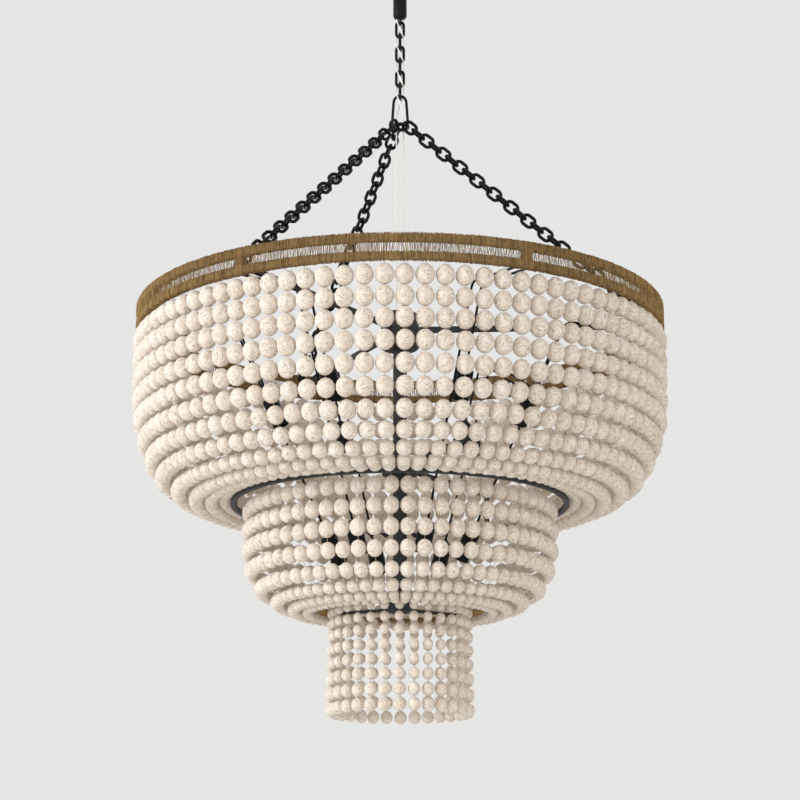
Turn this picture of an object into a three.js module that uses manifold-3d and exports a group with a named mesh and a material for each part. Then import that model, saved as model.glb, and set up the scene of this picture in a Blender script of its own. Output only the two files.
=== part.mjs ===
// Beaded chandelier: three tiers of strung wooden beads under a twine-wrapped iron hoop,
// hung from a canopy by one chain that splits into three.
// Millimetres, +Z up. The origin is the centre of the face that meets the ceiling.
import * as THREE from 'three';
import { mergeVertices } from 'three/addons/utils/BufferGeometryUtils.js';
import Module from 'manifold-3d';

const wasm = await Module();
wasm.setup();

// Clearances shared by every piece
const seat = 0.3; // between faces that rest on each other
const overrun = 1; // how far a cutter runs past the face it opens
const weld = 0.8; // how far pieces of one casting run into each other

// Ceiling fittings
const bracket = { length: 108, width: 22, thick: 2.5, slotLength: 20, slotWidth: 5, slotEnd: 12 };
// The canopy covers the bracket with a margin at its ends
const canopy = { margin: 9.4, height: 28, wall: 1.6, shoulderInset: 15, shoulderDrop: 10 };
const nipple = { radius: 5, bore: 3.2 };
const lockNut = { radius: 11, height: 8 };
const loop = { collarRadius: 8.75, neckRadius: 6, neckHeight: 12, bottom: -82, tip: 3 };
const eye = { wire: 1.6, halfWidth: 5, flat: 3, centre: -90 };

// Main chain
const drop = { wire: 1.8, length: 20.6, halfWidth: 4.7, flat: 3 };
const dropLinks = 6;

// Hanger under the main chain: a ring with a bail over it
const hanger = { level: -228, radius: 10, wire: 2.5, bailWire: 1.8, bailFlat: 3 };
const hangerCorners = 12;

// The hoop that carries everything below
const hoop = {
  outer: 325, top: -476, height: 32, wrap: 1.7, bar: 4, topBand: 11.6, lowBand: 10.6, postWidth: 9,
  turnWidth: 2,
};
const hoopPosts = 6;
const turnsPerBay = 1;
const frameAzimuth = -4; // degrees, how far the three-fold frame is turned from the X axis
const arms = 3;

// Facets round the hoop, the level rings, the hubs and plain fittings
const facets = 36;
const ringFacets = 36;
const hubFacets = 16;
const fittingFacets = 16;
const fineFacets = 24;
const wireFacets = 6;

// Chains from the hanger to the hoop
const sling = { wire: 3.6, halfWidth: 6.6, looseness: 1.6 };
const slingLinks = 28;
const slingEndLinks = 3; // links at each end over which a chain's twist fades
const slingHooks = [336, 116, 236]; // degrees round the hanger ring
const slingTwists = [0, 52, 40]; // degrees that each chain is turned about its own line
const hoopEye = { radius: 6.2, wire: 2, inset: 13, shankRadius: 2.2, slack: 1 };
const eyeCorners = 8;

// Central frame
const topHub = { radius: 23.75, top: -474, height: 46, bore: 6.2, rim: 3 };
const spoke = { height: 8, width: 4, level: -495 };
const column = { radius: 8.5, bore: 6.2, bottom: -842 };
const midFrame = {
  hubRadius: 22, hubTop: -664, hubHeight: 15, armLevel: -669, armWidth: 5, armHeight: 6, azimuth: 56,
};
const midRing = { outer: 205.8, width: 10.6, level: -716, height: 5.5 };
const midLeg = { inset: 3.8, thick: 4 };
const lowFrame = {
  hubRadius: 15, hubTop: -836, hubHeight: 12, armLevel: -844, armWidth: 4, armHeight: 4, azimuth: 35.4,
};
const lowRing = { outer: 102, width: 12, level: -844, height: 5 };
const endCap = { radius: 7, height: 9 };

// Lamp holders on bent rods
const lamps = 6;
const rod = { radius: 1.5, hoopLevel: -503, kneeLevel: -490, spacing: 14 };
const holder = { radius: 10, length: 37, wall: 1.5, recess: 26, collarRadius: 4, collar: 5 };
const lean = 24; // degrees from the vertical
const holderFacets = 8;
const upperLamp = { radius: 153, level: -599 };
const lowerLamp = { radius: 81, level: -769 };

// Supply cords
const cord = { radius: 0.8, coilRadius: 4.6, topLevel: -83, hubDepth: 6 };
const cordFacets = 6;
const cordSteps = 22;
const leadSteps = 4;
const lastTurn = 108; // degrees that a cord turns beside the bail

// Bead strands. A tier hangs from the ring that carries it and ends at the next one, or "drop" below
// its own. Its rows are shares of the way in from its first radius to its last, of the way down, and
// of its widest bead. Beads that stand clear of each other have a neck between them, and the crowded
// ones further in run into each other.
const tieWire = 3;
const upperTier = {
  inset: 7, endGap: 3.2, bead: 20.2, tieInset: 5, tieDrop: 3.2,
  strands: 90, nodes: 6, phase: 0.95, clearRows: 7,
  rowShares: [
    [0, 0.067, 1], [0, 0.185, 1], [0, 0.303, 1], [0.005, 0.423, 1], [0.023, 0.543, 0.99],
    [0.073, 0.661, 0.97], [0.156, 0.772, 0.926], [0.275, 0.87, 0.881], [0.642, 0.99, 0.787],
    [1, 1.005, 0.644],
  ],
};
const midTier = {
  inset: 11.4, endGap: 2, bead: 17, tieLap: 2.3, tieLift: 2, tieReach: 1.2,
  strands: 60, nodes: 3, phase: 2.85, clearRows: 0,
  rowShares: [
    [0.005, 0.031, 1], [0.01, 0.539, 1], [0.173, 0.813, 0.94], [0.549, 0.992, 0.765],
    [1, 1.016, 0.53],
  ],
};
const lowTier = {
  inset: 7.5, drop: 131, bead: 15.3, tieLap: 2.5, tieLift: 2.1, tieReach: 3,
  strands: 30, nodes: 6, phase: -0.6, clearRows: 0,
  rowShares: [[0, 0.031, 0.72], [0, 1, 1]],
};
const neckShare = 0.45; // of the beads on either side of a neck
const squeeze = 0.96; // share of the pitch that a bead may fill where strands crowd together

const degrees = Math.PI / 180;
const quarterTurn = 90; // degrees
const halfTurn = 180; // degrees
const fullTurn = 360; // degrees
const mergeWithin = 1e-4; // how close two corners are before they are one
const iron = new THREE.MeshStandardMaterial({ color: 0x17181a, roughness: 0.6, metalness: 0.7 });
const gunmetal = new THREE.MeshStandardMaterial({ color: 0x3c3e41, roughness: 0.5, metalness: 0.7 });
const twine = new THREE.MeshStandardMaterial({ color: 0x8c6f45, roughness: 0.95, metalness: 0 });
const bead = new THREE.MeshStandardMaterial({ color: 0xddd0bd, roughness: 0.8, metalness: 0 });
const clear = new THREE.MeshStandardMaterial({ color: 0xe8e6e0, roughness: 0.35, metalness: 0 });

const xAxis = new THREE.Vector3(1, 0, 0);
const yAxis = new THREE.Vector3(0, 1, 0);
const zAxis = new THREE.Vector3(0, 0, 1);
const chandelier = new THREE.Group();

function place(name, geometry, material) {
  const mesh = new THREE.Mesh(geometry, material);
  mesh.name = name;
  chandelier.add(mesh);
  return mesh;
}

function polar(radius, azimuth, level) {
  const a = azimuth * degrees;
  return new THREE.Vector3(radius * Math.cos(a), radius * Math.sin(a), level);
}

// A closed mesh from vertices and triangles
function body(points, triangles) {
  const geometry = new THREE.BufferGeometry();
  const places = points.flatMap((p) => [p.x, p.y, p.z]);
  geometry.setAttribute('position', new THREE.Float32BufferAttribute(places, 3));
  geometry.setIndex(triangles);
  return geometry;
}

// A solid of revolution about Z. The profile runs anticlockwise as [radius, level] pairs.
function turned(profile, segments) {
  const points = profile.map(([r, z]) => new THREE.Vector2(r, z));
  return new THREE.LatheGeometry(points, segments).rotateX(Math.PI / 2);
}

function ring(inner, outer, bottom, top, segments) {
  return turned([[inner, bottom], [outer, bottom], [outer, top], [inner, top], [inner, bottom]], segments);
}

function box(x, y, z, centre) {
  return new THREE.BoxGeometry(x, y, z).translate(centre.x, centre.y, centre.z);
}

function toSolid(geometry) {
  const bare = geometry.clone();
  bare.deleteAttribute('normal');
  bare.deleteAttribute('uv');
  const merged = mergeVertices(bare, mergeWithin);
  return new wasm.Manifold(new wasm.Mesh({
    numProp: 3,
    vertProperties: Float32Array.from(merged.attributes.position.array),
    triVerts: Uint32Array.from(merged.index.array),
  }));
}

function toGeometry(solid) {
  const { vertProperties, triVerts } = solid.getMesh();
  const geometry = new THREE.BufferGeometry();
  geometry.setAttribute('position', new THREE.BufferAttribute(vertProperties, 3));
  geometry.setIndex(new THREE.BufferAttribute(triVerts, 1));
  return geometry;
}

function joined(...geometries) {
  return toGeometry(geometries.map(toSolid).reduce((a, b) => a.add(b)));
}

function cut(geometry, ...cutters) {
  return toGeometry(cutters.map(toSolid).reduce((a, b) => a.subtract(b), toSolid(geometry)));
}

// A closed loop of round wire through points that lie in one plane, mitred at each corner
function wireLoop(corners, normal, wire, sides) {
  const points = [];
  const triangles = [];
  const n = corners.length;
  corners.forEach((corner, i) => {
    const before = corner.clone().sub(corners[(i + n - 1) % n]).normalize();
    const after = corners[(i + 1) % n].clone().sub(corner).normalize();
    const along = before.clone().add(after).normalize();
    const across = along.clone().cross(normal);
    const stretch = 1 / before.dot(along);
    for (let k = 0; k < sides; k += 1) {
      const a = ((k + 0.5) / sides) * 2 * Math.PI;
      points.push(corner.clone()
        .addScaledVector(across, wire * stretch * Math.cos(a))
        .addScaledVector(normal, wire * Math.sin(a)));
    }
    for (let k = 0; k < sides; k += 1) {
      const next = (k + 1) % sides;
      const [a, b] = [i * sides + k, i * sides + next];
      const [c, d] = [((i + 1) % n) * sides + k, ((i + 1) % n) * sides + next];
      triangles.push(a, c, b, b, c, d);
    }
  });
  return body(points, triangles);
}

// One chain link in the plane of Z and "side", from its top wire centre down
function link(top, side, length, halfWidth, flat, wire, sides) {
  const corner = halfWidth - flat;
  const corners = [
    [flat, 0], [halfWidth, -corner], [halfWidth, corner - length], [flat, -length],
    [-flat, -length], [-halfWidth, corner - length], [-halfWidth, -corner], [-flat, 0],
  ].map(([u, v]) => side.clone().multiplyScalar(u).add(new THREE.Vector3(0, 0, top + v)));
  const normal = side.clone().cross(zAxis);
  return wireLoop(corners, normal, wire, sides);
}

// A round bar between two points
function bar(from, to, radius, sides) {
  const along = to.clone().sub(from);
  const geometry = new THREE.CylinderGeometry(radius, radius, along.length(), sides);
  geometry.applyQuaternion(new THREE.Quaternion().setFromUnitVectors(yAxis, along.clone().normalize()));
  const middle = from.clone().add(to).multiplyScalar(0.5);
  return geometry.translate(middle.x, middle.y, middle.z);
}

// A bar bent in the plane of X and Z, mitred at its bends, with flat ends
function bentBar(path, side, radius, sides) {
  const points = [];
  const triangles = [];
  const last = path.length - 1;
  path.forEach((p, i) => {
    const before = p.clone().sub(path[Math.max(i - 1, 0)]);
    const after = path[Math.min(i + 1, last)].clone().sub(p);
    const arriving = (i ? before : after).clone().normalize();
    const leaving = (i < last ? after : before).clone().normalize();
    const along = arriving.clone().add(leaving).normalize();
    const stretch = radius / along.dot(arriving);
    for (let k = 0; k < sides; k += 1) {
      const turn = (k / sides) * 2 * Math.PI;
      const across = stretch * Math.cos(turn);
      points.push(new THREE.Vector3(
        p.x - along.y * across, side + radius * Math.sin(turn), p.y + along.x * across,
      ));
    }
  });
  for (let i = 0; i < last; i += 1) {
    for (let k = 0; k < sides; k += 1) {
      const next = (k + 1) % sides;
      const [a, b] = [i * sides + k, i * sides + next];
      const [c, d] = [a + sides, b + sides];
      triangles.push(a, c, b, b, c, d);
    }
  }
  for (let k = 1; k + 1 < sides; k += 1) {
    triangles.push(0, k, k + 1);
    triangles.push(last * sides, last * sides + k + 1, last * sides + k);
  }
  return body(points, triangles);
}

// A flat bar in a radial plane, from one [radius, level] to another
function flatArm(azimuth, from, to, width, height) {
  const half = height / 2;
  const outline = new THREE.Shape([
    new THREE.Vector2(from[0], from[1] - half), new THREE.Vector2(to[0], to[1] - half),
    new THREE.Vector2(to[0], to[1] + half), new THREE.Vector2(from[0], from[1] + half),
  ]);
  const geometry = new THREE.ExtrudeGeometry(outline, { depth: width, bevelEnabled: false });
  return geometry.translate(0, 0, -width / 2).rotateX(Math.PI / 2).rotateZ(azimuth * degrees);
}

// Ceiling bracket: a flat bar with two slots for the ceiling box screws
{
  const { length, width, thick, slotLength, slotWidth, slotEnd } = bracket;
  const slotCentre = length / 2 - slotEnd - slotLength / 2;
  const plate = box(length, width, thick, new THREE.Vector3(0, 0, -thick / 2));
  const slots = [-1, 1].map((side) => box(
    slotLength, slotWidth, thick + 2 * overrun, new THREE.Vector3(side * slotCentre, 0, -thick / 2),
  ));
  place('ceiling_bracket', cut(plate, ...slots), gunmetal);
}

// Threaded nipple: a tube that hangs from the bracket through the canopy
const collarTop = -(canopy.height + lockNut.height + 2 * seat);
const nippleEnd = collarTop - loop.neckHeight / 2;
place('threaded_nipple', ring(
  nipple.bore, nipple.radius, nippleEnd, -(bracket.thick + seat), fittingFacets,
), gunmetal);

// Canopy: a shallow cup, open at the ceiling
{
  const { height, wall, shoulderInset, shoulderDrop, margin } = canopy;
  const radius = bracket.length / 2 + margin + wall;
  const shoulderRadius = radius - shoulderInset;
  const hole = nipple.radius + seat;
  const outer = [
    [hole, -height], [shoulderRadius, -height], [(radius + shoulderRadius + wall) / 2, wall - height],
    [radius, shoulderDrop - height], [radius, 0],
  ];
  const inner = [
    [radius - wall, 0], [radius - wall, shoulderDrop - height],
    [(radius + shoulderRadius) / 2, 2 * wall - height], [shoulderRadius, wall - height],
    [hole, wall - height],
  ];
  place('canopy', turned([...outer, ...inner, outer[0]], fineFacets), iron);
}

// Lock nut under the canopy
place('canopy_nut', ring(
  nipple.radius + seat, lockNut.radius, -(canopy.height + seat + lockNut.height), -(canopy.height + seat),
  fittingFacets,
), iron);

// Canopy loop: a collar screwed on the nipple, with a wire eye under it
{
  const bore = nipple.radius + seat;
  const boreEnd = nippleEnd - seat;
  const collar = turned([
    [0, loop.bottom], [loop.collarRadius - loop.tip, loop.bottom],
    [loop.collarRadius, loop.bottom + loop.tip], [loop.collarRadius, collarTop - loop.neckHeight],
    [loop.neckRadius + seat, collarTop], [bore, collarTop], [bore, boreEnd], [0, boreEnd],
  ], fittingFacets);
  const corner = eye.halfWidth - eye.flat;
  const legTop = loop.bottom + eye.wire + weld;
  const corners = [
    [eye.flat, eye.centre], [eye.halfWidth, eye.centre + corner], [eye.halfWidth, legTop],
    [-eye.halfWidth, legTop], [-eye.halfWidth, eye.centre + corner], [-eye.flat, eye.centre],
  ].map(([y, z]) => new THREE.Vector3(0, y, z));
  const staple = wireLoop(corners.reverse(), xAxis, eye.wire, wireFacets);
  place('canopy_loop', joined(collar, staple), iron);
}

// Main chain: loose links, each a quarter turn from the one it hangs in
const contact = 2 * drop.wire + seat; // between the wire centres of two links that hang in each other
const dropPitch = drop.length - contact;
const dropTop = eye.centre + eye.wire + seat + drop.wire;
const dropEnd = dropTop - (dropLinks - 1) * dropPitch - drop.length;
for (let k = 0; k < dropLinks; k += 1) {
  const { length, halfWidth, flat, wire } = drop;
  place(`chain_link_${k + 1}`, link(
    dropTop - k * dropPitch, k % 2 ? yAxis : xAxis, length, halfWidth, flat, wire, wireFacets,
  ), iron);
}

// Hanger: a level ring for the three chains, with a bail that the last link carries
const bailTop = dropEnd + drop.wire + seat + hanger.bailWire;
{
  const { level, radius, wire, bailWire, bailFlat } = hanger;
  const corners = Array.from({ length: hangerCorners }, (_, k) => (
    polar(radius, ((k + 1 / 2) * fullTurn) / hangerCorners, level)
  ));
  const levelRing = wireLoop(corners, zAxis, wire, wireFacets);
  const shoulder = radius - bailFlat;
  const bail = wireLoop([
    [bailFlat, bailTop], [radius, bailTop - shoulder], [radius, level],
    [-radius, level], [-radius, bailTop - shoulder], [-bailFlat, bailTop],
  ].map(([x, z]) => new THREE.Vector3(x, 0, z)), yAxis.clone().negate(), bailWire, wireFacets);
  const thick = 2 * bailWire + overrun;
  const crossBar = box(2 * (radius - wire - seat), thick, thick, new THREE.Vector3(0, 0, level));
  place('hanger_ring', joined(levelRing, cut(bail, crossBar)), iron);
}

// Where a link's side rails bend, as shares of the pitch, at their outer and inner edges.
// The end links have two bends, to clear the wire that they hang on.
const kneeShares = [[0.5, 0.5]];
const endKneeShares = [[0.14, 0.34], [0.86, 0.66]];

// A chain stretch whose links share a small block where they meet, so that it is one body
function chainStretch(from, to, count, wire, halfWidth, rollAt) {
  const along = to.clone().sub(from);
  const pitch = along.length() / count;
  along.normalize();
  const outward = new THREE.Vector3(from.x + to.x, from.y + to.y, 0).normalize();
  const sideways = zAxis.clone().cross(outward).normalize();
  const upright = sideways.clone().cross(along).normalize();
  const h = wire / 2;
  const points = [];
  const triangles = [];
  const add = (u, v, a, b, c) => points.push(
    from.clone().addScaledVector(u, a).addScaledVector(v, b).addScaledVector(along, c),
  ) - 1;
  const quad = (a, b, c, d) => triangles.push(a, b, c, a, c, d);
  const frameAt = (k) => {
    const roll = (rollAt(k) + quarterTurn * k) * degrees;
    const u = upright.clone().multiplyScalar(Math.cos(roll)).addScaledVector(sideways, Math.sin(roll));
    return [u, along.clone().cross(u)];
  };
  // each block's corners, in the axes of the link that starts there
  const blocks = Array.from({ length: count + 1 }, (_, k) => {
    const [u, v] = frameAt(Math.min(k, count - 1));
    const s = k * pitch;
    const corners = [];
    for (const c of [s - h, s + h]) {
      corners.push(add(u, v, h, h, c), add(u, v, -h, h, c), add(u, v, -h, -h, c), add(u, v, h, -h, c));
    }
    return corners;
  });
  // a block's side faces: 0 faces +v, 1 faces -u, 2 faces -v and 3 faces +u
  const face = (block, i) => [block[i], block[(i + 1) % 4], block[4 + ((i + 1) % 4)], block[4 + i]];
  blocks.forEach((block, k) => {
    quad(block[3], block[2], block[1], block[0]);
    quad(block[4], block[5], block[6], block[7]);
    if (k === 0) [0, 2].forEach((i) => quad(...face(block, i)));
    if (k === count) [0, 2].forEach((i) => quad(...face(block, i)));
  });
  for (let k = 0; k < count; k += 1) {
    const [u, v] = frameAt(k);
    const s = k * pitch;
    const last = k === count - 1;
    for (const side of [1, -1]) {
      // the block at the far end is drawn in the next link's axes, a quarter turn on
      const near = face(blocks[k], side > 0 ? 3 : 1);
      const far = last ? face(blocks[k + 1], side > 0 ? 3 : 1) : face(blocks[k + 1], side > 0 ? 2 : 0);
      const w = side * halfWidth;
      const e = side * h;
      const knee = (outerAt, innerAt) => [
        add(u, v, w + e, -side * h, outerAt), add(u, v, w + e, side * h, outerAt),
        add(u, v, w - e, side * h, innerAt), add(u, v, w - e, -side * h, innerAt),
      ];
      const knees = (k === 0 || last ? endKneeShares : kneeShares).map(([outer, inner]) => knee(
        s + outer * pitch, s + inner * pitch,
      ));
      const rings = [near, ...knees, [far[3], far[2], far[1], far[0]]];
      for (let i = 0; i + 1 < rings.length; i += 1) {
        for (let j = 0; j < 4; j += 1) {
          const next = (j + 1) % 4;
          quad(rings[i][j], rings[i][next], rings[i + 1][next], rings[i + 1][j]);
        }
      }
    }
  }
  return body(points, triangles);
}

const hoopInner = hoop.outer - hoop.wrap - seat - hoop.bar;
// The flats of a faceted ring lie nearer its axis than its corners
const flatShare = Math.cos(Math.PI / facets);
const hoopFlat = hoopInner * flatShare;
const eyeLevel = hoop.top - hoop.topBand / 2;
const armAzimuths = Array.from({ length: arms }, (_, k) => frameAzimuth + (k * fullTurn) / arms);
const hoopEyes = [];
armAzimuths.forEach((azimuth, k) => {
  const eyeCentre = polar(hoopInner - hoopEye.inset, azimuth, eyeLevel);
  const hook = polar(hanger.radius, slingHooks[k], hanger.level);
  const line = eyeCentre.clone().sub(hook).normalize();
  const start = hook.clone().addScaledVector(line, -(sling.wire / 2 + hanger.wire + sling.looseness));
  const end = eyeCentre.clone().addScaledVector(line, -hoopEye.slack);
  const settle = (n) => Math.min(1, n / slingEndLinks, (slingLinks - 1 - n) / slingEndLinks);
  place(`hoop_chain_${k + 1}`, chainStretch(
    start, end, slingLinks, sling.wire, sling.halfWidth, (n) => slingTwists[k] * settle(n),
  ), iron);

  const outward = polar(1, azimuth, 0);
  const tangent = zAxis.clone().cross(outward);
  const corners = Array.from({ length: eyeCorners }, (_, i) => {
    const a = (i / eyeCorners) * 2 * Math.PI;
    return eyeCentre.clone().addScaledVector(outward, hoopEye.radius * Math.cos(a))
      .add(new THREE.Vector3(0, 0, hoopEye.radius * Math.sin(a)));
  });
  const torus = wireLoop(corners, tangent.clone().negate(), hoopEye.wire, wireFacets);
  const shank = bar(
    polar(hoopInner - hoopEye.inset + hoopEye.radius, azimuth, eyeLevel),
    polar(hoopFlat + weld, azimuth, eyeLevel), hoopEye.shankRadius, wireFacets,
  );
  hoopEyes.push(torus, shank);
});

// Hoop: two flat rings with posts between them
const hoopBottom = hoop.top - hoop.height;
const topBarEnd = hoop.top - hoop.topBand + hoop.wrap;
const lowBarTop = hoopBottom + hoop.lowBand - hoop.wrap;
const barOuter = hoop.outer - hoop.wrap - seat;
const skin = hoop.wrap + seat;
const bays = Array.from({ length: hoopPosts }, (_, k) => frameAzimuth + (k * fullTurn) / hoopPosts);
{
  const band = toSolid(ring(hoopInner, barOuter, lowBarTop - weld, topBarEnd + weld, facets));
  const middle = new THREE.Vector3((hoopFlat + barOuter) / 2, 0, (topBarEnd + lowBarTop) / 2);
  const post = (azimuth) => toGeometry(band.intersect(toSolid(
    box(hoop.bar + 2 * overrun, hoop.postWidth, hoop.height, middle).rotateZ(azimuth * degrees),
  )));
  place('hoop_frame', joined(
    ring(hoopInner, barOuter, topBarEnd, hoop.top - skin, facets),
    ring(hoopInner, barOuter, hoopBottom + skin, lowBarTop, facets),
    ...bays.map(post),
    ...hoopEyes,
  ), gunmetal);
}

// Twine wound round the hoop: one sleeve for each bay, open between its turns where the hoop is open
{
  const skinInner = hoopInner - skin;
  const { wrap } = hoop;
  const core = ring(hoopInner - seat, barOuter + seat, hoopBottom + wrap, hoop.top - wrap, facets);
  const sleeve = toSolid(ring(skinInner, hoop.outer, hoopBottom, hoop.top, facets)).subtract(toSolid(core));
  const slotTop = hoop.top - hoop.topBand;
  const slotBottom = hoopBottom + hoop.lowBand;
  const bayAngle = fullTurn / hoopPosts;
  const postAngle = (hoop.postWidth + 2 * hoop.wrap) / hoop.outer / degrees;
  const turnAngle = hoop.turnWidth / hoop.outer / degrees;
  const openings = turnsPerBay + 1;
  const openAngle = (bayAngle - postAngle - turnsPerBay * turnAngle) / openings;
  // how far the ring curves away within one window
  const sag = hoop.outer * (1 - Math.cos((openAngle / 2) * degrees));
  const across = hoop.outer - skinInner + 2 * (sag + overrun);
  const middle = (hoop.outer + skinInner) / 2;
  const seatAngle = seat / hoop.outer / degrees;
  const reach = 2 * hoop.outer;
  const spokeNotch = (azimuth) => box(
    skin + 2 * overrun, spoke.width + 2 * seat, spoke.height + 2 * seat,
    new THREE.Vector3(skinInner + skin / 2 - overrun / 2, 0, spoke.level),
  ).rotateZ(azimuth * degrees);
  const eyeNotch = (azimuth) => box(
    skin + 2 * overrun, 2 * (hoopEye.shankRadius + seat), 2 * (hoopEye.shankRadius + seat),
    new THREE.Vector3(skinInner + skin / 2 - overrun / 2, 0, eyeLevel),
  ).rotateZ(azimuth * degrees);
  armAzimuths.forEach((start, k) => {
    const from = start + seatAngle / 2;
    const to = start + fullTurn / arms - seatAngle / 2;
    const rim = [from, (from + to) / 2, to].map((azimuth) => polar(reach, azimuth, 0));
    const outline = new THREE.Shape([new THREE.Vector2(), ...rim.map((p) => new THREE.Vector2(p.x, p.y))]);
    const depth = hoop.height + 2 * overrun;
    const wedge = new THREE.ExtrudeGeometry(outline, { depth, bevelEnabled: false })
      .translate(0, 0, hoopBottom - overrun);
    let solid = sleeve.intersect(toSolid(wedge));
    const baysHere = bays.filter((bay) => bay > start - bayAngle / 2 && bay < to);
    for (const bay of baysHere) {
      for (let i = 0; i < openings; i += 1) {
        const centre = bay + postAngle / 2 + openAngle / 2 + i * (openAngle + turnAngle);
        const width = 2 * middle * Math.sin((openAngle / 2) * degrees);
        const windowCentre = new THREE.Vector3(middle, 0, (slotTop + slotBottom) / 2);
        const window = box(across, width, slotTop - slotBottom, windowCentre);
        solid = solid.subtract(toSolid(window.rotateZ(centre * degrees)));
      }
    }
    for (const azimuth of armAzimuths) {
      solid = solid.subtract(toSolid(spokeNotch(azimuth))).subtract(toSolid(eyeNotch(azimuth)));
    }
    place(`twine_wrap_${k + 1}`, toGeometry(solid), twine);
  });
}

// Central frame
{
  const { radius, top, height, bore, rim } = topHub;
  place('top_hub', turned([
    [bore, top - height], [radius - rim, top - height], [radius, top - height + rim], [radius, top - rim],
    [radius - rim, top], [bore, top], [bore, top - height],
  ], fineFacets), gunmetal);
  armAzimuths.forEach((azimuth, k) => place(`top_spoke_${k + 1}`, flatArm(
    azimuth, [radius + seat, spoke.level], [hoopFlat - seat, spoke.level], spoke.width, spoke.height,
  ), gunmetal));
  const capEnd = column.bottom - endCap.height;
  place('column', turned([
    [0, capEnd], [endCap.radius / 2, capEnd], [endCap.radius, capEnd + endCap.height / 2],
    [column.radius, column.bottom], [column.radius, top - height - seat],
    [column.bore, top - height - seat], [column.bore, column.bottom],
    [0, column.bottom],
  ], hubFacets), gunmetal);
}

// A hub on the column with three level arms
function spider(name, frame, reach, leg) {
  const { hubRadius, hubTop, hubHeight } = frame;
  const hub = ring(column.radius + seat, hubRadius, hubTop - hubHeight, hubTop, hubFacets);
  const pieces = Array.from({ length: arms }, (_, k) => {
    const azimuth = frame.azimuth + (k * fullTurn) / arms;
    const arm = flatArm(
      azimuth, [hubRadius - 2 * weld, frame.armLevel], [reach, frame.armLevel],
      frame.armWidth, frame.armHeight,
    );
    return leg ? [arm, leg(azimuth)] : [arm];
  });
  place(name, joined(hub, ...pieces.flat()), gunmetal);
}

function flatRing(name, { outer, width, level, height }) {
  place(name, ring(outer - width, outer, level - height / 2, level + height / 2, ringFacets), gunmetal);
}

{
  const legEnd = midRing.level + midRing.height / 2 + seat;
  const legTop = midFrame.armLevel + midFrame.armHeight / 2;
  const legRadius = midRing.outer - midLeg.inset;
  const legMiddle = new THREE.Vector3(legRadius, 0, (legTop + legEnd) / 2);
  spider('mid_spider', midFrame, legRadius - midLeg.thick / 4, (azimuth) => (
    box(midLeg.thick, midFrame.armWidth, legTop - legEnd, legMiddle).rotateZ(azimuth * degrees)
  ));
  flatRing('mid_ring', midRing);
  spider('low_spider', lowFrame, (lowRing.outer - lowRing.width) * Math.cos(Math.PI / ringFacets) - seat);
  flatRing('low_ring', lowRing);
}

// Lamp holders: a rod from the hoop runs in, bends down and leans towards the column
function lamp(name, azimuth, { radius, level }, side) {
  const tilt = lean * degrees;
  const axis = new THREE.Vector2(-Math.sin(tilt), -Math.cos(tilt)); // down the holder, as radius and level
  const centre = new THREE.Vector2(radius, level);
  const at = (distance) => centre.clone().addScaledVector(axis, distance);
  const neck = at(-holder.length / 2 - holder.collar);
  const knee = at((rod.kneeLevel - level) / axis.y);
  const turnToAxis = (geometry, p) => geometry
    .rotateX(-Math.PI / 2).rotateZ(-tilt - Math.PI).translate(p.x, p.y, 0)
    .rotateX(Math.PI / 2).translate(0, side, 0);
  const { wall, recess, collarRadius, collar } = holder;
  const start = collar;
  const end = collar + holder.length;
  const shell = turned([
    [0, 0], [collarRadius, 0], [collarRadius, start], [holder.radius, start + wall],
    [holder.radius, end], [holder.radius - wall, end], [holder.radius - wall, end - recess],
    [0, end - recess],
  ].map(([r, z]) => [r, -z]).reverse(), holderFacets).rotateX(Math.PI);
  const hoopEnd = new THREE.Vector2((hoopInner - skin) * flatShare - seat, rod.hoopLevel);
  const bent = bentBar([hoopEnd, knee, at(-holder.length / 2 - weld)], side, rod.radius, wireFacets);
  place(name, joined(bent, turnToAxis(shell, neck)).rotateZ(azimuth * degrees), iron);
}

for (let k = 0; k < lamps; k += 1) {
  const azimuth = frameAzimuth + (k * fullTurn) / lamps;
  lamp(`upper_lamp_${k + 1}`, azimuth, upperLamp, rod.spacing / 2);
  lamp(`lower_lamp_${k + 1}`, azimuth, lowerLamp, -rod.spacing / 2);
}

// Supply cords: two thin cords wind down the chain, then hang straight to the hub
class Helix extends THREE.Curve {
  // stations are [level, turn] pairs, the turn in degrees about the vertical
  constructor(radius, stations) {
    super();
    Object.assign(this, { radius, stations });
  }

  getPoint(t, target = new THREE.Vector3()) {
    const { radius, stations } = this;
    const first = stations[0][0];
    const level = first + t * (stations[stations.length - 1][0] - first);
    const i = Math.max(1, stations.findIndex(([z], k) => k > 0 && z <= level + mergeWithin));
    const [[z0, turn0], [z1, turn1]] = [stations[i - 1], stations[i]];
    const a = (turn0 + ((level - z0) / (z1 - z0)) * (turn1 - turn0)) * degrees;
    return target.set(radius * Math.cos(a), radius * Math.sin(a), level);
  }
}

function cordTube(path, steps) {
  const section = new THREE.Shape(Array.from({ length: cordFacets }, (_, k) => {
    const a = (k / cordFacets) * 2 * Math.PI;
    return new THREE.Vector2(cord.radius * Math.cos(a), cord.radius * Math.sin(a));
  }));
  return new THREE.ExtrudeGeometry(section, { steps, bevelEnabled: false, extrudePath: path });
}

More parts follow.
